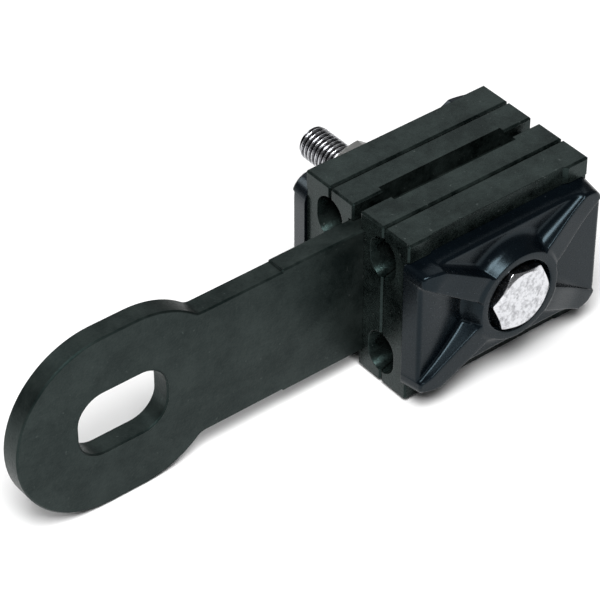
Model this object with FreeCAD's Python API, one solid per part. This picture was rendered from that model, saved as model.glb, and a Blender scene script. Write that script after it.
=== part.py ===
import FreeCAD, Part
import math
import os

# Strain clamp for four bundled overhead conductors, in millimetres.
# The origin is the centre of the anchor eye, on the strap's middle plane.
# +X runs along the strap to the clamp, +Y to the free thread of the bolt, +Z up.

# Anchor eye and strap
eye_to_bolt = 105.0
eye_radius = 26.5
eye_flat = 9.5
eye_hole_length = 26.4
eye_hole_height = 18.6
eye_hole_corner = 7.5
strap_thickness = 6.0
shank_height = 38.4
neck_fillet = 4.0
grip_height = 39.4
grip_start = 49.0
strap_end_inset = 1.0
strap_edge = 0.4

# Four jaws
jaw_length = 60.0
jaw_height = 50.0
jaw_edge = 0.5
inner_gap = 2.8
inner_thickness = 9.0
jaw_seam = 0.3
outer_thickness = 8.9
tab_height = 0.8
tab_length = 8.4
tab_lead = 1.6
window_length = 40.6
strap_clearance = 0.1
channel_clearance = 0.6

# Conductor grooves
groove_radius = 4.5
groove_rise = 15.3
mouth_length = 6.5
mouth_radius = 5.0
mouth_throat_radius = 3.0
mouth_spread = 1.35

# Pressure plates
plate_length = 62.0
plate_height = 39.0
plate_draft = 0.6
plate_clearance = 0.2
plate_eye_corner = 1.2
plate_far_corner = 5.0
end_floor_rise = 5.8
side_floor_rise = 4.7
side_floor_length = 52.0
rib_width = 6.0
rib_bevel = 0.5
rib_flare = 0.5
rib_reach = 3.0
eye_rib_corner_rise = 6.7
eye_rib_shoulder = 7.0
eye_rib_shoulder_rise = 8.1
far_rib_corner_rise = 6.4
far_rib_shoulder = 9.0
far_rib_shoulder_rise = 6.9
rib_hub_rise = 9.2
hub_rise = 9.7
hub_radius = 12.6
hub_spread = 0.8
recess_radius = 10.4
recess_floor_rise = 4.8

# Bolt, nut and washers
bolt_radius = 4.95
bolt_length = 80.0
bolt_tip = 1.0
bolt_hole_clearance = 0.55
head_flats = 17.0
head_height = 6.4
head_turn_angle = 51.6
nut_flats = 17.0
nut_height = 8.0
nut_turn_angle = 82.0
nut_running_fit = 0.05
nut_countersink = 0.5
hex_chamfer_ratio = 0.475
hex_chamfer_slope = 30.0
washer_radius = 10.0
washer_hole_radius = 5.25
washer_thickness = 2.0
spring_inner_radius = 5.1
spring_width = 4.0
spring_thickness = 2.2
spring_free_height = 4.4
spring_cut_angle = 12.0
spring_segments = 30
seat_gap = 0.02

# Depths are distances out from the strap's middle plane
inner_face = inner_gap / 2
inner_back = inner_face + inner_thickness
seam_middle = inner_back + jaw_seam / 2
outer_front = inner_back + jaw_seam
plate_seat = outer_front + outer_thickness
hub_face = plate_seat + hub_rise
recess_floor = plate_seat + recess_floor_rise
bolt_end = bolt_length - recess_floor
nut_seat = recess_floor + washer_thickness + spring_free_height + 2 * seat_gap
hole_radius = bolt_radius + bolt_hole_clearance
channel_depth = strap_thickness / 2 + strap_clearance
channel_height = grip_height + channel_clearance
jaw_end = jaw_length / 2
half_jaw_height = jaw_height / 2

# Cutting tools run this far past the faces they open, or past every piece
overshoot = 1.0
beyond = 100.0

os.makedirs("parts", exist_ok=True)


def point(x, y, z):
    """A point given from the bolt axis along X."""
    return FreeCAD.Vector(eye_to_bolt + x, y, z)


def block(x0, x1, y0, y1, z0, z1):
    """A box between two corners, given from the bolt axis."""
    return Part.makeBox(x1 - x0, y1 - y0, z1 - z0, point(x0, y0, z0))


def rod(radius, y0, y1):
    """A cylinder on the bolt axis."""
    return Part.makeCylinder(radius, y1 - y0, point(0, y0, 0), FreeCAD.Vector(0, 1, 0))


def polygon(points):
    """A closed wire through the points."""
    return Part.makePolygon(points + [points[0]])


def turned_about_bolt(shape):
    """The same piece on the other side: half a turn about the upright through the bolt."""
    copy = shape.copy()
    copy.rotate(point(0, 0, 0), FreeCAD.Vector(0, 0, 1), 180)
    return copy


def arc(centre, radius, start, end):
    """An arc in the XZ plane, with its angles in degrees from +X to +Z."""

    def on_arc(angle):
        a = math.radians(angle)
        return centre + FreeCAD.Vector(radius * math.cos(a), 0, radius * math.sin(a))

    return Part.Arc(on_arc(start), on_arc((start + end) / 2), on_arc(end)).toShape()


def rounded_outline(y, low_x, high_x, half_height, low_radius, high_radius):
    """A rectangle with rounded corners in the XZ plane, at a height y, from the bolt axis."""
    corners = [
        (high_x, half_height, high_radius, 0),
        (low_x, half_height, low_radius, 90),
        (low_x, -half_height, low_radius, 180),
        (high_x, -half_height, high_radius, 270),
    ]
    arcs = []
    for x, z, radius, start in corners:
        middle = math.radians(start + 45)
        inset_x = radius * math.copysign(1, math.cos(middle))
        inset_z = radius * math.copysign(1, math.sin(middle))
        arcs.append(arc(point(x - inset_x, y, z - inset_z), radius, start, start + 90))
    edges = []
    for this, following in zip(arcs, arcs[1:] + arcs[:1]):
        edges.append(this)
        edges.append(Part.makeLine(this.lastVertex().Point, following.firstVertex().Point))
    return Part.Wire(Part.__sortEdges__(edges))


def eye_hole():
    """The rounded slot that the anchor bracket or shackle goes through."""
    half_x = eye_hole_length / 2
    outline = rounded_outline(
        -strap_thickness,
        -eye_to_bolt - half_x,
        -eye_to_bolt + half_x,
        eye_hole_height / 2,
        eye_hole_corner,
        eye_hole_corner,
    )
    return Part.Face(outline).extrude(FreeCAD.Vector(0, 2 * strap_thickness, 0))


def eye_and_shank():
    """The eye, as two round ends and a flat, with the narrower shank that leaves it."""
    half = strap_thickness / 2
    centres = (-eye_to_bolt - eye_flat / 2, -eye_to_bolt + eye_flat / 2)
    across = FreeCAD.Vector(0, 1, 0)
    ends = []
    for x in centres:
        ends.append(Part.makeCylinder(eye_radius, strap_thickness, point(x, -half, 0), across))
    middle = block(centres[0], centres[1], -half, half, -eye_radius, eye_radius)
    shank = block(-eye_to_bolt, 0, -half, half, -shank_height / 2, shank_height / 2)
    return middle.fuse(ends + [shank]).removeSplitter()


def grip():
    """The slightly taller end of the strap that the jaws hold."""
    half = strap_thickness / 2
    start = grip_start - eye_to_bolt
    end = jaw_end - strap_end_inset
    return block(start, end, -half, half, -grip_height / 2, grip_height / 2)


def neck_edges(shape):
    """The two short edges where the shank runs into the eye's round outline."""
    found = []
    for edge in shape.Edges:
        if len(edge.Vertexes) != 2:
            continue
        first, last = (v.Point for v in edge.Vertexes)
        across = abs(first.y - last.y) > strap_thickness / 2
        on_shank = abs(abs(first.z) - shank_height / 2) < strap_edge / 10
        if across and on_shank and first.x < grip_start - strap_edge:
            found.append(edge)
    return found


def rim_edges(shape, depth):
    """The edges that lie in the strap's two flat faces."""
    found = []
    for edge in shape.Edges:
        if all(abs(abs(v.Point.y) - depth) < strap_edge / 10 for v in edge.Vertexes):
            found.append(edge)
    return found


def make_strap():
    half = strap_thickness / 2
    eye = eye_and_shank()
    eye = eye.makeFillet(neck_fillet, neck_edges(eye))
    eye = eye.cut(eye_hole())
    eye = eye.makeChamfer(strap_edge, rim_edges(eye, half))
    end = grip()
    end = end.makeChamfer(strap_edge, rim_edges(end, half))
    strap = eye.fuse(end).removeSplitter()
    return strap.cut(rod(hole_radius, -strap_thickness, strap_thickness))


def bevelled_block(x1, y0, y1, z1):
    """A box centred on the bolt in X and Z, with all its edges bevelled."""
    solid = block(-x1, x1, y0, y1, -z1, z1)
    return solid.makeChamfer(jaw_edge, solid.Edges)


def mouth_flare():
    """The oval funnel that opens one end of a groove, with its wide end towards +X."""
    along = FreeCAD.Vector(1, 0, 0)
    ends = []
    for height in (-mouth_spread, mouth_spread):
        start = FreeCAD.Vector(0, 0, height)
        ends.append(Part.makeCone(mouth_throat_radius, mouth_radius, mouth_length, start, along))
    section = [
        FreeCAD.Vector(0, -mouth_throat_radius, -mouth_spread),
        FreeCAD.Vector(mouth_length, -mouth_radius, -mouth_spread),
        FreeCAD.Vector(mouth_length, mouth_radius, -mouth_spread),
        FreeCAD.Vector(0, mouth_throat_radius, -mouth_spread),
    ]
    middle = Part.Face(polygon(section)).extrude(FreeCAD.Vector(0, 0, 2 * mouth_spread))
    return middle.fuse(ends).removeSplitter()


def grooves():
    """Two round conductor grooves along X, each opening out into an oval mouth at both ends."""
    along = FreeCAD.Vector(1, 0, 0)
    upright = FreeCAD.Vector(0, 0, 1)
    tools = []
    for height in (-groove_rise, groove_rise):
        start = point(-beyond, -seam_middle, height)
        tools.append(Part.makeCylinder(groove_radius, 2 * beyond, start, along))
        for half_turn in (0, 180):
            flare = mouth_flare()
            flare.translate(FreeCAD.Vector(jaw_end - mouth_length, 0, 0))
            flare.rotate(FreeCAD.Vector(0, 0, 0), upright, half_turn)
            flare.translate(point(0, -seam_middle, height))
            tools.append(flare)
    return tools


def make_inner_jaw():
    """The jaw between the strap and the conductors, on the side of the bolt's head."""
    jaw = bevelled_block(jaw_end, -inner_back, -inner_face, half_jaw_height)
    half_window = window_length / 2
    channel = block(-beyond, beyond, -channel_depth, 0, -channel_height / 2, channel_height / 2)
    window = block(-half_window, half_window, -channel_depth, 0, -beyond, beyond)
    return jaw.cut([channel, window, rod(hole_radius, -beyond, 0)] + grooves())


def tab_clearance():
    """The room between the corner tabs, where the pressure plate sits."""
    deep = plate_seat + tab_height + overshoot
    half_plate = plate_height / 2 + plate_clearance
    across = block(-beyond, beyond, -deep, -plate_seat, -half_plate, half_plate)
    base = jaw_end - tab_length
    opened = base + tab_lead * (tab_height + overshoot) / tab_height
    section = [
        point(-base, -plate_seat, -beyond),
        point(-opened, -deep, -beyond),
        point(opened, -deep, -beyond),
        point(base, -plate_seat, -beyond),
    ]
    between = Part.Face(polygon(section)).extrude(FreeCAD.Vector(0, 0, 2 * beyond))
    return [across, between]


def make_outer_jaw():
    """The jaw outside the conductors, on the side of the bolt's head."""
    deep = plate_seat + tab_height
    jaw = bevelled_block(jaw_end, -deep, -outer_front, half_jaw_height)
    return jaw.cut(tab_clearance() + [rod(hole_radius, -beyond, 0)] + grooves())


def plate_outline(rise):
    """The plate's outline at a rise above its seat, drawn in by the draft of the mould."""
    inset = plate_draft * rise / end_floor_rise
    return rounded_outline(
        -plate_seat - rise,
        -plate_length / 2 + inset,
        plate_length / 2 - inset,
        plate_height / 2 - inset,
        plate_eye_corner,
        plate_far_corner,
    )


def plate_body(rise):
    return Part.makeLoft([plate_outline(0), plate_outline(rise)], True, True)


def rib(side_x, side_z, stations):
    """A rib from a corner to the hub, through sections at given distances and rises."""
    corner_x = side_x * plate_length / 2
    corner_z = side_z * plate_height / 2
    diagonal = math.hypot(corner_x, corner_z)
    inward_x = -corner_x / diagonal
    inward_z = -corner_z / diagonal
    sections = []
    for distance, rise in stations:
        half_top = rib_width / 2
        half_base = half_top + rib_bevel + rib_flare
        outline = [
            (-half_base, 0),
            (-half_top - rib_bevel, rise - rib_bevel),
            (-half_top, rise),
            (half_top, rise),
            (half_top + rib_bevel, rise - rib_bevel),
            (half_base, 0),
        ]
        ring = []
        for across, up in outline:
            x = corner_x + inward_x * distance - inward_z * across
            z = corner_z + inward_z * distance + inward_x * across
            ring.append(point(x, -plate_seat - up, z))
        sections.append(polygon(ring))
    return Part.makeLoft(sections, True, True)


def plate_ribs():
    to_hub = math.hypot(plate_length / 2, plate_height / 2) - recess_radius
    eye_stations = [
        (-rib_reach, eye_rib_corner_rise),
        (0, eye_rib_corner_rise),
        (eye_rib_shoulder, eye_rib_shoulder_rise),
        (to_hub, rib_hub_rise),
    ]
    far_stations = [
        (-rib_reach, far_rib_corner_rise),
        (0, far_rib_corner_rise),
        (far_rib_shoulder, far_rib_shoulder_rise),
        (to_hub, rib_hub_rise),
    ]
    ribs = []
    for side_z in (-1, 1):
        ribs.append(rib(-1, side_z, eye_stations))
        ribs.append(rib(1, side_z, far_stations))
    return ribs


def side_floor(side_z):
    """The cut down to the lower floor along the plate's upper or lower edge, between two ribs."""
    deep = -plate_seat - side_floor_rise
    outline = [
        point(-side_floor_length, deep, side_z * plate_height),
        point(side_floor_length, deep, side_z * plate_height),
        point(0, deep, 0),
    ]
    return Part.Face(polygon(outline)).extrude(FreeCAD.Vector(0, -beyond, 0))


def make_plate():
    """The ribbed plate that the bolt's head pulls against the outer jaw."""
    body = plate_body(end_floor_rise).cut([side_floor(-1), side_floor(1)])
    full = plate_body(hub_rise)
    ribs = [one.common(full) for one in plate_ribs()]
    outward = FreeCAD.Vector(0, -1, 0)
    hub = Part.makeCone(hub_radius + hub_spread, hub_radius, hub_rise, point(0, -plate_seat, 0), outward)
    body = body.fuse(ribs + [hub]).removeSplitter()
    return body.cut([rod(recess_radius, -beyond, -recess_floor), rod(hole_radius, -beyond, 0)])


def hexagon(flats, corner_angle, y0, y1):
    """A hexagonal bar on the bolt axis, with one corner at the given angle."""
    radius = flats / math.sqrt(3)
    corners = []
    for step in range(6):
        a = math.radians(corner_angle + 60 * step)
        corners.append(point(radius * math.cos(a), y0, radius * math.sin(a)))
    return Part.Face(polygon(corners)).extrude(FreeCAD.Vector(0, y1 - y0, 0))


def hex_envelope(flats, y0, y1, both_ends):
    """The turned shape that rounds a hexagon's corners off at one or both ends."""
    corner = flats / math.sqrt(3) + overshoot
    flat = flats * hex_chamfer_ratio
    drop = (corner - flat) * math.tan(math.radians(hex_chamfer_slope))
    section = [point(0, y0, 0), point(flat, y0, 0), point(corner, y0 + drop, 0)]
    if both_ends:
        section += [point(corner, y1 - drop, 0), point(flat, y1, 0), point(0, y1, 0)]
    else:
        section += [point(corner, y1, 0), point(0, y1, 0)]
    return Part.Face(polygon(section)).revolve(point(0, 0, 0), FreeCAD.Vector(0, 1, 0), 360)


def make_bolt():
    """Hexagon bolt with its head in the front plate and its thread out at the rear."""
    head_face = -recess_floor - head_height
    head = hexagon(head_flats, head_turn_angle, head_face, -recess_floor)
    head = head.common(hex_envelope(head_flats, head_face, -recess_floor, False))
    shank = rod(bolt_radius, -recess_floor, bolt_end)
    tip = [e for e in shank.Edges if e.BoundBox.YMin > bolt_end - bolt_tip]
    shank = shank.makeChamfer(bolt_tip, tip)
    return head.fuse(shank).removeSplitter()


def make_nut():
    end = nut_seat + nut_height
    bore = bolt_radius + nut_running_fit
    nut = hexagon(nut_flats, nut_turn_angle, nut_seat, end)
    nut = nut.common(hex_envelope(nut_flats, nut_seat, end, True))
    nut = nut.cut(rod(bore, nut_seat - overshoot, end + overshoot))
    circles = [edge for edge in nut.Edges if edge.Curve.TypeId == "Part::GeomCircle"]
    mouth = [edge for edge in circles if edge.Curve.Radius < nut_flats / 3 and edge.BoundBox.YMin > nut_seat]
    return nut.makeChamfer(nut_countersink, mouth)


def make_washer():
    start = recess_floor + seat_gap
    end = start + washer_thickness
    hole = rod(washer_hole_radius, start - overshoot, end + overshoot)
    return rod(washer_radius, start, end).cut(hole)


def spring_sections():
    """The four corners of the spring washer's section at each step round from one cut end."""
    start = recess_floor + washer_thickness + 2 * seat_gap
    climb = spring_free_height - spring_thickness
    sections = []
    for step in range(spring_segments + 1):
        share = step / spring_segments
        a = math.radians(spring_cut_angle / 2 + share * (360 - spring_cut_angle))
        low = start + share * climb
        corners = []
        for radius in (spring_inner_radius, spring_inner_radius + spring_width):
            for y in (low, low + spring_thickness):
                corners.append(point(radius * math.sin(a), y, radius * math.cos(a)))
        sections.append(corners)
    return sections


def make_spring_washer():
    """A split ring with its two ends sprung apart, as it is before it is tightened."""
    sections = spring_sections()
    inner_low, inner_high, outer_low, outer_high = range(4)
    faces = []
    for here, there in zip(sections, sections[1:]):
        faces.append([here[inner_low], here[inner_high], there[inner_high], there[inner_low]])
        faces.append([here[outer_low], here[outer_high], there[outer_high], there[outer_low]])
        for inner, outer in ((inner_low, outer_low), (inner_high, outer_high)):
            faces.append([here[inner], here[outer], there[outer]])
            faces.append([here[inner], there[outer], there[inner]])
    for cut in (sections[0], sections[-1]):
        faces.append([cut[inner_low], cut[inner_high], cut[outer_high], cut[outer_low]])
    shell = Part.makeShell([Part.Face(polygon(corners)) for corners in faces])
    ring = Part.makeSolid(shell)
    if ring.Volume < 0:
        ring.reverse()
    return ring


inner_jaw = make_inner_jaw()
outer_jaw = make_outer_jaw()
plate = make_plate()
pieces = {
    "eye_strap": make_strap(),
    "inner_jaw_front": inner_jaw,
    "inner_jaw_rear": turned_about_bolt(inner_jaw),
    "outer_jaw_front": outer_jaw,
    "outer_jaw_rear": turned_about_bolt(outer_jaw),
    "pressure_plate_front": plate,
    "pressure_plate_rear": turned_about_bolt(plate),
    "clamp_bolt": make_bolt(),
    "flat_washer": make_washer(),
    "spring_washer": make_spring_washer(),
    "clamp_nut": make_nut(),
}
for name, shape in pieces.items():
    shape.exportStep("parts/" + name + ".step")
    print(name, "solids", len(shape.Solids), "valid", shape.isValid(), "volume", round(shape.Volume, 1))
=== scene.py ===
import math

import bpy
from mathutils import Matrix, Vector


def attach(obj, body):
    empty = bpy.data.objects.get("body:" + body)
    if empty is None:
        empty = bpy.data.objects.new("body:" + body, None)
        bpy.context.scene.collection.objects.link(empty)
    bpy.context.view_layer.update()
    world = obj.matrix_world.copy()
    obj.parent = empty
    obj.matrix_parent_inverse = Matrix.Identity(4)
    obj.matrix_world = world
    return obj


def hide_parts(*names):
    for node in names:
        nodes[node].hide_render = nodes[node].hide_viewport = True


MM = 0.001

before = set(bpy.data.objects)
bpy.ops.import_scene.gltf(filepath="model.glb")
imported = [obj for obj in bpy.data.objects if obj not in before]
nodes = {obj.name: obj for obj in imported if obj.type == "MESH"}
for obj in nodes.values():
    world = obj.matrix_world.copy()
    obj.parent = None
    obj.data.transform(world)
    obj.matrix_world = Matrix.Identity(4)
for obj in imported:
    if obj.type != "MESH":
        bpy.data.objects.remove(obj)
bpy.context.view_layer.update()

# Places in the solid model, in millimetres: x runs from the eye to the jaws, y back along the bolt and z up
BOLT_X = 105.0
JAW_END = 136.0
EYE_REST = -26.5
JAW_REST = -25.0

# Pressure plate: its seat on the jaw, its outline, and the floors of its pockets above the seat
PLATE_SEAT = 19.6
PLATE_HALF_LENGTH = 31.0
PLATE_HALF_HEIGHT = 19.5
DIAGONAL = math.hypot(PLATE_HALF_LENGTH, PLATE_HALF_HEIGHT)
CORNER_ANGLE = math.atan2(PLATE_HALF_HEIGHT, PLATE_HALF_LENGTH)
EYE_CORNER = 1.2
FAR_CORNER = 5.0
RIM_INSET = 0.6
RIM_ROUND = 1.1
END_FLOOR = 5.8
SIDE_FLOOR = 4.7
EYE_POCKET_FALL = 2.4
EYE_POCKET_START = 29.0

# Hub of the plate, with the recess for the bolt's head
HUB_RISE = 9.7
HUB_RADIUS = 12.6
HUB_EDGE = 0.6
HUB_HOLLOWS = 1.2, 4.0
HUB_HOLLOW_TURN = 0.25, 0.75
HUB_STEEPEST = math.radians(69)
RECESS_RADIUS = 10.4
RECESS_FLOOR = 4.8
RECESS_LIP = 0.5
RECESS_CORNER = 0.25
BOLT_HOLE_RADIUS = 5.5

# Ribs of the plate: a crest's height at the corner, and its rises, each between two distances from there
EYE_RIB_CREST = 6.7, ((1.4, 0.0, 7.0), (1.1, 4.0, 26.0))
FAR_RIB_CREST = 6.4, ((0.5, 0.0, 9.0), (2.3, 7.0, 26.0))
RIB_RUN = 24.0
RIB_HALF_CORNER = 2.5
RIB_HALF_HUB = 3.2
EYE_RIB_HOLLOWS = 0.8, 1.5
FAR_RIB_HOLLOWS = 1.5, 3.4
RIB_STEEPEST = math.radians(82)
FLANK_EDGE = 0.35
EDGE_SHARE = 0.4
HOLLOW_SHARE = 0.98
CREST_BLEND = 4

# Fineness of the plate's grid
RIB_TOP_SHARES = 0.0, 0.35, 0.7
RIB_SPREAD = 0.92
EDGE_STEPS = 4
HOLLOW_STEPS = 9
LIP_STEPS = 4
RIM_STEPS = 5
POCKET_STEPS = 22
FACE_STEPS = 44
SETTLING_ROUNDS = 5

# Bolt
BOLT_END = 55.6
THREAD_START = 20.0
THREAD_RADIUS = 4.95
THREAD_PITCH = 1.5
THREAD_DEPTH = 0.9
THREAD_VALLEY = 0.12, 0.85
THREAD_RUN_OUT = 3.0
TIP_CHAMFER = 1.0
HEAD_HEIGHT = 6.4
HEAD_FLATS = 17.0
HEAD_TURN = math.radians(51.6)
HEAD_FACE_RADIUS = HEAD_FLATS * 0.475
HEAD_CHAMFER = math.radians(30)
CLOSING_RADIUS = 0.01
HEAD_FACE_RINGS = CLOSING_RADIUS, 3.0, 6.0, 7.6
HEAD_CHAMFER_SHARES = 0.0, 0.35, 0.7, 0.94, 1.0
HEAD_SIDE_TOP = 1.6
HEAD_SIDE_FOOT = 0.4
ROWS_PER_PITCH = 10
BOLT_SIDES = 72
BOLT_ANGLES = [2 * math.pi * step / BOLT_SIDES for step in range(BOLT_SIDES)]

# Angles, in degrees, above which an edge is drawn sharp, and the distance at which points are joined
SOLID_SHARP = 32
SKIN_SHARP = 75
BOLT_SHARP = 24
WELD_DISTANCE = 0.002

# Patterns of the materials: scale, detail and roughness, and the band of each that is drawn out
PATCHES = 80.0, 8.0, 0.78
PATCH_BAND = 0.4, 0.62
SPECKS = 900.0, 2.0, 0.5
SPECK_BAND = 0.7, 0.78
GRAIN = 1600.0, 3.0, 0.6
BRUSHING = 260.0, 4.0, 0.6
BRUSH_STRETCH = 1.0, 1.0, 12.0
ROUGHNESS_BAND = 0.3, 0.7
HEAD_SPOTS = 800.0, 4.0, 0.6
HEAD_SPOT_BAND = 0.45, 0.68

# Relief and rounded edges of the materials, in metres
GRAIN_STRENGTH = 0.5
BRUSH_STRENGTH = 0.4
BRUSH_RELIEF = 0.00003
METAL_EDGE = 0.0003
EDGE_SAMPLES = 6

# Depths below the thread's crest, in millimetres, at which its colour holds painted shade and at which it
# is bright again
DARK_DEPTH = 0.6
BRIGHT_DEPTH = 0.15

# Floor, lamps and camera
FLOOR_CLEARANCE = 0.12
FLOOR_REACH = 3.0
FLOOR_COLOUR = 0.96, 0.96, 0.96
SKY_STRENGTH = 0.11
LAMP_TARGET = Vector((0.08, 0.0, 0.0))
CAMERA_PLACE = -304.98, -455.49, 483.52
CAMERA_AZIMUTH = math.radians(-38.47)
CAMERA_ELEVATION = math.radians(39.47)
CAMERA_LENS = 180.0
CAMERA_SENSOR = 36.0
CAMERA_RANGE = 0.05, 20.0


# Meshes
def mesh_object(name, vertices, faces):
    """A smooth-shaded object from places in millimetres, with its faces turned outwards."""
    mesh = bpy.data.meshes.new(name)
    mesh.from_pydata([Vector(v) * MM for v in vertices], [], faces)
    mesh.validate()
    mesh.polygons.foreach_set("use_smooth", [True] * len(mesh.polygons))
    mesh.update()
    obj = bpy.data.objects.new(name, mesh)
    bpy.context.scene.collection.objects.link(obj)
    bpy.context.view_layer.objects.active = obj
    obj.select_set(True)
    bpy.ops.object.mode_set(mode="EDIT")
    bpy.ops.mesh.select_all(action="SELECT")
    bpy.ops.mesh.normals_make_consistent(inside=False)
    bpy.ops.object.mode_set(mode="OBJECT")
    obj.select_set(False)
    return obj


def grid_faces(lines, count, closed):
    """Four-sided faces between lines of points, each line a loop of count points."""
    faces = []
    for line in range(lines if closed else lines - 1):
        start = line * count
        following = (line + 1) % lines * count
        for here in range(count):
            beyond = (here + 1) % count
            faces.append((start + here, start + beyond, following + beyond, following + here))
    return faces


def smoothstep(low, high, value):
    """Smooth climb from 0 to 1 between two values."""
    t = min(1.0, max(0.0, (value - low) / (high - low)))
    return t * t * (3 - 2 * t)


# The pressure plate's face: four ribs and a hub over four hollow pockets
def outline_radius(angle, inset):
    """Distance from the bolt's axis to the plate's rounded outline, drawn in by an inset."""
    half_x = PLATE_HALF_LENGTH - inset
    half_z = PLATE_HALF_HEIGHT - inset
    c, s = math.cos(angle), math.sin(angle)
    corner = EYE_CORNER if c < 0 else FAR_CORNER
    reach = min(half_x / max(abs(c), 1e-9), half_z / max(abs(s), 1e-9))
    x, z = reach * abs(c), reach * abs(s)
    cx, cz = half_x - corner, half_z - corner
    if x > cx and z > cz:
        b = cx * abs(c) + cz * abs(s)
        reach = b + math.sqrt(max(0.0, b * b - (cx * cx + cz * cz - corner * corner)))
    return reach


def flank_parts(depth, hollow, steepest):
    """Round edge, run of the steep face and hollow at its foot, for a flank of a given depth."""
    turned = 1 - math.cos(steepest)
    edge = min(FLANK_EDGE, EDGE_SHARE * depth / turned)
    hollow = min(hollow, HOLLOW_SHARE * (depth / turned - edge))
    run = (depth - (edge + hollow) * turned) / math.tan(steepest)
    return edge, run, hollow


def flank_stations(depth, hollow, steepest):
    """Distances out from a raised edge at which its flank needs a point."""
    edge, run, hollow = flank_parts(depth, hollow, steepest)
    foot = edge * math.sin(steepest) + run
    stations = [edge * math.sin(steepest * k / EDGE_STEPS) for k in range(EDGE_STEPS + 1)]
    for k in range(HOLLOW_STEPS + 1):
        turn = steepest * (1 - k / HOLLOW_STEPS)
        stations.append(foot + hollow * (math.sin(steepest) - math.sin(turn)))
    return stations


def flank_drop(out, depth, hollow, steepest):
    """How far a flank has fallen at a distance out from its raised edge."""
    edge, run, hollow = flank_parts(depth, hollow, steepest)
    top = edge * math.sin(steepest)
    if out <= 0:
        return 0.0
    if out <= top:
        return edge - math.sqrt(edge * edge - out * out)
    if out <= top + run:
        return edge * (1 - math.cos(steepest)) + (out - top) * math.tan(steepest)
    sine = math.sin(steepest) - (out - top - run) / hollow
    if sine <= 0:
        return depth
    return depth - hollow * (1 - math.sqrt(1 - sine * sine))


def rib_size(to_corner, eye_side):
    """A rib's crest, half its width and the hollow at its foot, at a distance from the plate's corner."""
    crest, rises = EYE_RIB_CREST if eye_side else FAR_RIB_CREST
    for rise, near, far in rises:
        crest += rise * smoothstep(near, far, to_corner)
    towards_hub = smoothstep(0.0, RIB_RUN, to_corner)
    half_width = RIB_HALF_CORNER + (RIB_HALF_HUB - RIB_HALF_CORNER) * towards_hub
    small, large = EYE_RIB_HOLLOWS if eye_side else FAR_RIB_HOLLOWS
    return crest, half_width, small + (large - small) * towards_hub


def plate_rise(x, z):
    """Height of the plate's face above its seat at a place given from the bolt's axis."""
    ax, az = abs(x), abs(z)
    across = (az * PLATE_HALF_LENGTH - ax * PLATE_HALF_HEIGHT) / DIAGONAL
    to_corner = DIAGONAL - (ax * PLATE_HALF_LENGTH + az * PLATE_HALF_HEIGHT) / DIAGONAL
    floor = SIDE_FLOOR if across > 0 else END_FLOOR
    if x < 0 and across <= 0:
        inward = (EYE_POCKET_START - ax) / (EYE_POCKET_START - HUB_RADIUS)
        floor -= EYE_POCKET_FALL * min(1.0, max(0.0, inward)) ** 2
    crest, half_width, hollow = rib_size(to_corner, x < 0)
    rib = crest - floor - flank_drop(abs(across) - half_width, crest - floor, hollow, RIB_STEEPEST)
    from_axis = math.hypot(x, z)
    small, large = HUB_HOLLOWS
    hollow = small + (large - small) * smoothstep(*HUB_HOLLOW_TURN, az / from_axis)
    hub = HUB_RISE - floor - flank_drop(from_axis - HUB_RADIUS, HUB_RISE - floor, hollow, HUB_STEEPEST)
    return min(floor + (rib ** CREST_BLEND + hub ** CREST_BLEND) ** (1 / CREST_BLEND), HUB_RISE)


def rib_side_angles(radius, eye_side, floor, half_sector):
    """Directions away from a rib's middle line, at one radius, of the points across half the rib."""
    crest, half_width, hollow = rib_size(DIAGONAL - radius, eye_side)
    stations = flank_stations(crest - floor, hollow, RIB_STEEPEST)
    widest = radius * math.sin(RIB_SPREAD * half_sector)
    squeeze = min(1.0, (widest - half_width) / stations[-1])
    offsets = [half_width * share for share in RIB_TOP_SHARES]
    offsets += [half_width + out * squeeze for out in stations]
    return [math.asin(offset / radius) for offset in offsets]


def column_angle(sector, column, radius):
    """Direction of one of the grid's columns, counted round a sector from one rib to the next."""
    start, end, first_eye, last_eye, floor = (
        (CORNER_ANGLE, math.pi - CORNER_ANGLE, False, True, SIDE_FLOOR),
        (math.pi - CORNER_ANGLE, math.pi + CORNER_ANGLE, True, True, END_FLOOR),
        (math.pi + CORNER_ANGLE, 2 * math.pi - CORNER_ANGLE, True, False, SIDE_FLOOR),
        (2 * math.pi - CORNER_ANGLE, 2 * math.pi + CORNER_ANGLE, False, False, END_FLOOR),
    )[sector]
    half_sector = (end - start) / 2
    first = rib_side_angles(radius, first_eye, floor, half_sector)
    last = rib_side_angles(radius, last_eye, floor, half_sector)
    if column < len(first):
        return start + first[column]
    column -= len(first)
    if column < POCKET_STEPS - 1:
        low, high = start + first[-1], end - last[-1]
        return low + (high - low) * (column + 1) / POCKET_STEPS
    return end - last[len(last) - 1 - (column - POCKET_STEPS + 1)]


def recess_rings():
    """Radius and height of the rings from the bolt's hole over the recess's floor, wall and round lip."""
    rings = [(BOLT_HOLE_RADIUS, RECESS_FLOOR)]
    rings.append((RECESS_RADIUS - RECESS_CORNER, RECESS_FLOOR))
    rings.append((RECESS_RADIUS, RECESS_FLOOR + RECESS_CORNER))
    for k in range(LIP_STEPS + 1):
        turn = math.pi / 2 * k / LIP_STEPS
        out = RECESS_LIP * (1 - math.cos(turn))
        drop = RECESS_LIP * (1 - math.sin(turn))
        rings.append((RECESS_RADIUS + out, HUB_RISE - drop))
    return rings


def round_place(angle, radius, rise):
    """A place given by its direction and distance from the bolt's axis, and its height."""
    return radius * math.cos(angle), rise, radius * math.sin(angle)


def face_place(angle, radius):
    """A place on the plate's ribbed face."""
    x, z = radius * math.cos(angle), radius * math.sin(angle)
    return x, plate_rise(x, z), z


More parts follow.
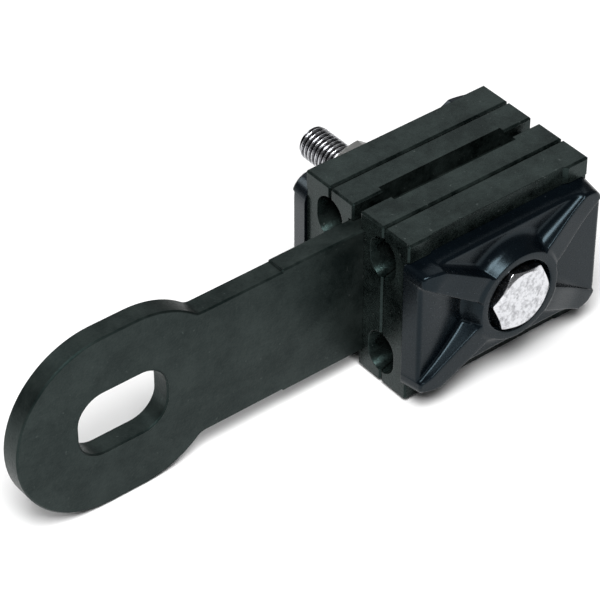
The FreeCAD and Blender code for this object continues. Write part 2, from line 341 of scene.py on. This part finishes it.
def plate_column(sector, column):
    """One line of the plate's grid, from the bolt's hole over the face and the rim to the seat."""
    hub_stations = flank_stations(HUB_RISE - SIDE_FLOOR, HUB_HOLLOWS[1], HUB_STEEPEST)
    hub_rings = [HUB_RADIUS - HUB_EDGE] + [HUB_RADIUS + out for out in hub_stations]
    angle = column_angle(sector, column, hub_rings[0])
    line = [round_place(angle, radius, rise) for radius, rise in recess_rings()]
    for radius in hub_rings:
        angle = column_angle(sector, column, radius)
        line.append(face_place(angle, radius))
    start = hub_rings[-1]
    for share in range(1, FACE_STEPS + 1):
        for _ in range(SETTLING_ROUNDS):
            outer = outline_radius(angle, RIM_INSET) - RIM_ROUND
            radius = start + (outer - start) * share / FACE_STEPS
            angle = column_angle(sector, column, radius)
        line.append(face_place(angle, radius))
    rim = line[-1][1]
    for k in range(1, RIM_STEPS + 1):
        turn = math.pi / 2 * k / RIM_STEPS
        radius = outer + RIM_ROUND * math.sin(turn)
        line.append(round_place(angle, radius, rim - RIM_ROUND * (1 - math.cos(turn))))
    line.append(round_place(angle, outline_radius(angle, 0.0), 0.0))
    return line


def plate_skin(name, rear):
    """The whole plate as one closed mesh, its grid running out from the bolt's recess."""
    across_rib = len(rib_side_angles(HUB_RADIUS, True, END_FLOOR, 1.0))
    per_sector = across_rib * 2 - 1 + POCKET_STEPS - 1
    lines = [plate_column(sector, column) for sector in range(4) for column in range(per_sector)]
    turn, side = (-1, 1) if rear else (1, -1)
    vertices = []
    for line in lines:
        for x, rise, z in line:
            vertices.append((BOLT_X + turn * x, side * (PLATE_SEAT + rise), z))
    return mesh_object(name, vertices, grid_faces(len(lines), len(lines[0]), True))


# Clamp bolt
def bolt_row(places, radii):
    """Points once round the bolt, from their places along it and their radii."""
    row = []
    for angle, place, radius in zip(BOLT_ANGLES, places, radii):
        row.append((BOLT_X + radius * math.cos(angle), place, radius * math.sin(angle)))
    return row


def round_row(place, radius):
    """Points on one circle round the bolt."""
    return bolt_row([place] * BOLT_SIDES, [radius] * BOLT_SIDES)


def hexagon_radius(angle):
    """Distance from the bolt's axis to the side of its head."""
    turned = (angle - HEAD_TURN) % (math.pi / 3) - math.pi / 6
    return HEAD_FLATS / 2 / math.cos(turned)


def thread_radius(angle, place):
    """Radius of the thread in one direction, with its shallow start and the chamfer at its tip."""
    phase = (place / THREAD_PITCH - angle / (2 * math.pi)) % 1.0
    valley = smoothstep(*THREAD_VALLEY, abs(phase - 0.5) * 2)
    cut_in = smoothstep(0.0, THREAD_RUN_OUT, place - THREAD_START)
    tip = max(0.0, place - (BOLT_END - TIP_CHAMFER))
    return min(THREAD_RADIUS - THREAD_DEPTH * valley * cut_in, THREAD_RADIUS - tip)


def bolt_shape(name):
    """Shank with a real helical thread, and a bare hexagon head with a chamfer round its face."""
    head_base = -(PLATE_SEAT + RECESS_FLOOR)
    head_face = head_base - HEAD_HEIGHT
    sides = [hexagon_radius(angle) for angle in BOLT_ANGLES]
    rows = [round_row(head_face, radius) for radius in HEAD_FACE_RINGS]
    for share in HEAD_CHAMFER_SHARES:
        radii = [HEAD_FACE_RADIUS + (side - HEAD_FACE_RADIUS) * share for side in sides]
        places = [head_face + (radius - HEAD_FACE_RADIUS) * math.tan(HEAD_CHAMFER) for radius in radii]
        rows.append(bolt_row(places, radii))
    for place in (head_face + HEAD_SIDE_TOP, head_base - HEAD_SIDE_FOOT, head_base):
        rows.append(bolt_row([place] * BOLT_SIDES, sides))
    rows.append(round_row(head_base, THREAD_RADIUS))
    rows.append(round_row(THREAD_START, THREAD_RADIUS))
    count = int((BOLT_END - THREAD_START) / THREAD_PITCH * ROWS_PER_PITCH)
    for k in range(1, count + 1):
        place = THREAD_START + (BOLT_END - THREAD_START) * k / count
        rows.append(bolt_row([place] * BOLT_SIDES, [thread_radius(angle, place) for angle in BOLT_ANGLES]))
    rows.append(round_row(BOLT_END, CLOSING_RADIUS))
    vertices = [point for row in rows for point in row]
    faces = grid_faces(len(rows), BOLT_SIDES, False)
    faces.append(list(range(BOLT_SIDES)))
    faces.append(list(range(len(vertices) - BOLT_SIDES, len(vertices))))
    return mesh_object(name, vertices, faces)


# Building blocks of the materials
def new_material(name):
    """An empty material with its node tree and its shader."""
    material = bpy.data.materials.new(name)
    material.use_nodes = True
    tree = material.node_tree
    return material, tree, tree.nodes["Principled BSDF"]


def object_place(tree):
    """Place on the object, so that patterns move with it."""
    return tree.nodes.new("ShaderNodeTexCoord").outputs["Object"]


def noise(tree, vector, scale, detail, roughness):
    """Cloudy pattern of a given fineness."""
    node = tree.nodes.new("ShaderNodeTexNoise")
    node.inputs["Scale"].default_value = scale
    node.inputs["Detail"].default_value = detail
    node.inputs["Roughness"].default_value = roughness
    tree.links.new(vector, node.inputs["Vector"])
    return node.outputs["Fac"]


def map_range(tree, value, band, result=(0.0, 1.0)):
    """A value's band stretched to a result and held at its ends."""
    node = tree.nodes.new("ShaderNodeMapRange")
    node.inputs["From Min"].default_value, node.inputs["From Max"].default_value = band
    node.inputs["To Min"].default_value, node.inputs["To Max"].default_value = result
    tree.links.new(value, node.inputs["Value"])
    return node.outputs["Result"]


def mixed_colour(tree, share, first, second):
    """Blend of two colours, each of them fixed or itself a blend."""
    node = tree.nodes.new("ShaderNodeMix")
    node.data_type = "RGBA"
    for side, colour in (("A", first), ("B", second)):
        if isinstance(colour, tuple):
            node.inputs[side].default_value = (*colour, 1)
        else:
            tree.links.new(colour, node.inputs[side])
    tree.links.new(share, node.inputs["Factor"])
    return node.outputs["Result"]


def vector_math(tree, operation, vector, value=(0, 0, 0)):
    """One step of arithmetic on a place."""
    node = tree.nodes.new("ShaderNodeVectorMath")
    node.operation = operation
    node.inputs[1].default_value = value
    tree.links.new(vector, node.inputs[0])
    return node.outputs["Value" if operation == "LENGTH" else "Vector"]


def bumped(tree, shader, height, distance, strength, round_edges):
    """Relief too fine for the mesh, on edges that look slightly rounded."""
    bevel = tree.nodes.new("ShaderNodeBevel")
    bevel.samples = EDGE_SAMPLES
    bevel.inputs["Radius"].default_value = round_edges
    bump = tree.nodes.new("ShaderNodeBump")
    bump.inputs["Distance"].default_value = distance
    bump.inputs["Strength"].default_value = strength
    tree.links.new(height, bump.inputs["Height"])
    tree.links.new(bevel.outputs["Normal"], bump.inputs["Normal"])
    tree.links.new(bump.outputs["Normal"], shader.inputs["Normal"])


def worn_plastic(name, dark, light, dust, roughness, grain, edge, sheen_colour, sheen_level):
    """Dark moulded plastic with cloudy patches, a fine grain, a little dust and softened edges."""
    material, tree, shader = new_material(name)
    shader.inputs["Specular Tint"].default_value = (*sheen_colour, 1)
    shader.inputs["Specular IOR Level"].default_value = sheen_level
    place = object_place(tree)
    patches = map_range(tree, noise(tree, place, *PATCHES), PATCH_BAND)
    specks = map_range(tree, noise(tree, place, *SPECKS), SPECK_BAND)
    fine = noise(tree, place, *GRAIN)
    cloudy = mixed_colour(tree, patches, dark, light)
    dusty = mixed_colour(tree, specks, cloudy, dust)
    tree.links.new(dusty, shader.inputs["Base Color"])
    tree.links.new(map_range(tree, fine, ROUGHNESS_BAND, roughness), shader.inputs["Roughness"])
    bumped(tree, shader, fine, grain, GRAIN_STRENGTH, edge)
    return material


def metal(name, colour, roughness):
    """A brushed metal with softened edges."""
    material, tree, shader = new_material(name)
    stretch = tree.nodes.new("ShaderNodeMapping")
    stretch.inputs["Scale"].default_value = BRUSH_STRETCH
    tree.links.new(object_place(tree), stretch.inputs["Vector"])
    lines = noise(tree, stretch.outputs["Vector"], *BRUSHING)
    shader.inputs["Metallic"].default_value = 1.0
    shader.inputs["Base Color"].default_value = (*colour, 1)
    tree.links.new(map_range(tree, lines, ROUGHNESS_BAND, roughness), shader.inputs["Roughness"])
    bumped(tree, shader, lines, BRUSH_RELIEF, BRUSH_STRENGTH, METAL_EDGE)
    return material


def bolt_steel(name, bright, mottled, painted_groove_shade, roughness):
    """The bolt's steel: a mottled head, and a thread with painted shade down between its crests."""
    material = metal(name, bright, roughness)
    tree = material.node_tree
    place = object_place(tree)
    from_axis = vector_math(tree, "SUBTRACT", place, (BOLT_X * MM, 0, 0))
    radius = vector_math(tree, "LENGTH", vector_math(tree, "MULTIPLY", from_axis, (1, 0, 1)))
    along = tree.nodes.new("ShaderNodeSeparateXYZ")
    tree.links.new(place, along.inputs["Vector"])
    thread_band = (THREAD_RADIUS - DARK_DEPTH) * MM, (THREAD_RADIUS - BRIGHT_DEPTH) * MM
    crest = map_range(tree, radius, thread_band)
    plain = map_range(tree, along.outputs["Y"], (0.0, THREAD_START * MM), (1.0, 0.0))
    unshaded_share = tree.nodes.new("ShaderNodeMath")
    unshaded_share.operation = "MAXIMUM"
    tree.links.new(crest, unshaded_share.inputs[0])
    tree.links.new(plain, unshaded_share.inputs[1])
    spots = map_range(tree, noise(tree, place, *HEAD_SPOTS), HEAD_SPOT_BAND)
    steel = mixed_colour(tree, spots, bright, mottled)
    # Painted shade: the thread is coloured dark down between its crests, where shade falls
    painted_shade_steel = mixed_colour(tree, unshaded_share.outputs["Value"], painted_groove_shade, steel)
    tree.links.new(painted_shade_steel, tree.nodes["Principled BSDF"].inputs["Base Color"])
    return material


# Materials
strap_plastic = worn_plastic(
    "strap_plastic",
    dark=(0.001, 0.0019, 0.0018),
    light=(0.012, 0.0152, 0.0143),
    dust=(0.028, 0.033, 0.032),
    roughness=(0.34, 0.5),
    grain=0.0001,
    edge=0.00025,
    sheen_colour=(0.62, 1.0, 0.95),
    sheen_level=0.228,
)
jaw_plastic = worn_plastic(
    "jaw_plastic",
    dark=(0.0004, 0.001, 0.0009),
    light=(0.0128, 0.0178, 0.0166),
    dust=(0.044, 0.051, 0.049),
    roughness=(0.2, 0.32),
    grain=0.00008,
    edge=0.0003,
    sheen_colour=(0.62, 1.0, 0.96),
    sheen_level=0.212,
)
plate_plastic = worn_plastic(
    "plate_plastic",
    dark=(0.001, 0.0019, 0.003),
    light=(0.0018, 0.0033, 0.005),
    dust=(0.015, 0.019, 0.023),
    roughness=(0.22, 0.3),
    grain=0.00002,
    edge=0.0003,
    sheen_colour=(0.62, 0.86, 1.0),
    sheen_level=0.232,
)
stainless = bolt_steel(
    "stainless_bolt",
    bright=(0.72, 0.726, 0.752),
    mottled=(0.35, 0.352, 0.37),
    # colour of the painted shade down between the thread's crests
    painted_groove_shade=(0.08, 0.08, 0.086),
    roughness=(0.16, 0.28),
)
zinc = metal("zinc_fastener", colour=(0.25, 0.25, 0.244), roughness=(0.3, 0.45))


# Looks of the solid model's pieces
def dress(obj, material):
    """One material on the whole piece."""
    obj.data.materials.clear()
    obj.data.materials.append(material)


def split_sharp(obj, degrees):
    """Sharp edges kept sharp on a smooth-shaded piece."""
    split = obj.modifiers.new("sharp_edges", "EDGE_SPLIT")
    split.split_angle = math.radians(degrees)
    split.use_edge_sharp = False


def soften(obj):
    """Smooth shading over a solid's round faces."""
    weld = obj.modifiers.new("weld", "WELD")
    weld.merge_threshold = WELD_DISTANCE * MM
    obj.data.polygons.foreach_set("use_smooth", [True] * len(obj.data.polygons))
    split_sharp(obj, SOLID_SHARP)


LOOKS = {
    "eye_strap": strap_plastic,
    "inner_jaw_front": jaw_plastic,
    "inner_jaw_rear": jaw_plastic,
    "outer_jaw_front": jaw_plastic,
    "outer_jaw_rear": jaw_plastic,
    "flat_washer": zinc,
    "spring_washer": zinc,
    "clamp_nut": zinc,
}
for name, material in LOOKS.items():
    dress(nodes[name], material)
    soften(nodes[name])

# Finer plates and bolt in place of the plain solids
PLATES = (
    ("pressure_plate_front", False, "front_set"),
    ("pressure_plate_rear", True, "rear_set"),
)
for node, rear, body in PLATES:
    skin = plate_skin(node + "_skin", rear)
    dress(skin, plate_plastic)
    split_sharp(skin, SKIN_SHARP)
    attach(skin, body)
    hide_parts(node)

bolt = bolt_shape("clamp_bolt_threaded")
dress(bolt, stainless)
split_sharp(bolt, BOLT_SHARP)
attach(bolt, "front_set")
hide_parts("clamp_bolt")

# Floor, tilted so that the eye's edge and the far end of the jaws both rest on it
corners = [(-1, -1), (1, -1), (1, 1), (-1, 1)]
floor_mesh = bpy.data.meshes.new("floor")
floor_mesh.from_pydata([(x * FLOOR_REACH, y * FLOOR_REACH, 0) for x, y in corners], [], [(0, 1, 2, 3)])
floor = bpy.data.objects.new("floor", floor_mesh)
bpy.context.scene.collection.objects.link(floor)
floor_place = Matrix.Translation((0, 0, (EYE_REST - FLOOR_CLEARANCE) * MM))
floor_tilt = math.atan2(JAW_REST - EYE_REST, JAW_END)
floor.matrix_world = floor_place @ Matrix.Rotation(-floor_tilt, 4, "Y")
floor_material, _, shader = new_material("floor")
shader.inputs["Roughness"].default_value = 1.0
shader.inputs["Specular IOR Level"].default_value = 0.0
shader.inputs["Base Color"].default_value = (*FLOOR_COLOUR, 1)
floor_mesh.materials.append(floor_material)

# Light
world = bpy.data.worlds.new("studio")
world.use_nodes = True
bpy.context.scene.world = world
sky = world.node_tree.nodes["Background"]
sky.inputs["Color"].default_value = (1, 1, 1, 1)
sky.inputs["Strength"].default_value = SKY_STRENGTH


def softbox(name, place, size, power):
    """A flat lamp turned towards the middle of the clamp."""
    light = bpy.data.lights.new(name, "AREA")
    light.shape = "RECTANGLE"
    light.size, light.size_y = size
    light.energy = power
    obj = bpy.data.objects.new(name, light)
    bpy.context.scene.collection.objects.link(obj)
    obj.location = place
    obj.rotation_mode = "QUATERNION"
    obj.rotation_quaternion = (LAMP_TARGET - Vector(place)).to_track_quat("-Z", "Y")


softbox("top_box", place=(-0.262, -0.4, 0.909), size=(0.52, 0.52), power=14.7)
softbox("rear_box", place=(-0.16, 1.08, 0.66), size=(0.5, 0.5), power=4.4)
softbox("back_card", place=(0.75, 0.95, 0.95), size=(1.0, 0.8), power=2.4)

# Camera
camera_data = bpy.data.cameras.new("camera")
camera_data.lens = CAMERA_LENS
camera_data.sensor_width = CAMERA_SENSOR
camera_data.clip_start, camera_data.clip_end = CAMERA_RANGE
camera = bpy.data.objects.new("camera", camera_data)
bpy.context.scene.collection.objects.link(camera)
level = math.cos(CAMERA_ELEVATION)
ahead = Vector((
    -math.sin(CAMERA_AZIMUTH) * level,
    math.cos(CAMERA_AZIMUTH) * level,
    -math.sin(CAMERA_ELEVATION),
))
camera.location = Vector(CAMERA_PLACE) * MM
camera.rotation_mode = "QUATERNION"
camera.rotation_quaternion = ahead.to_track_quat("-Z", "Y")
bpy.context.scene.camera = camera
bpy.context.scene.view_settings.view_transform = "Standard"
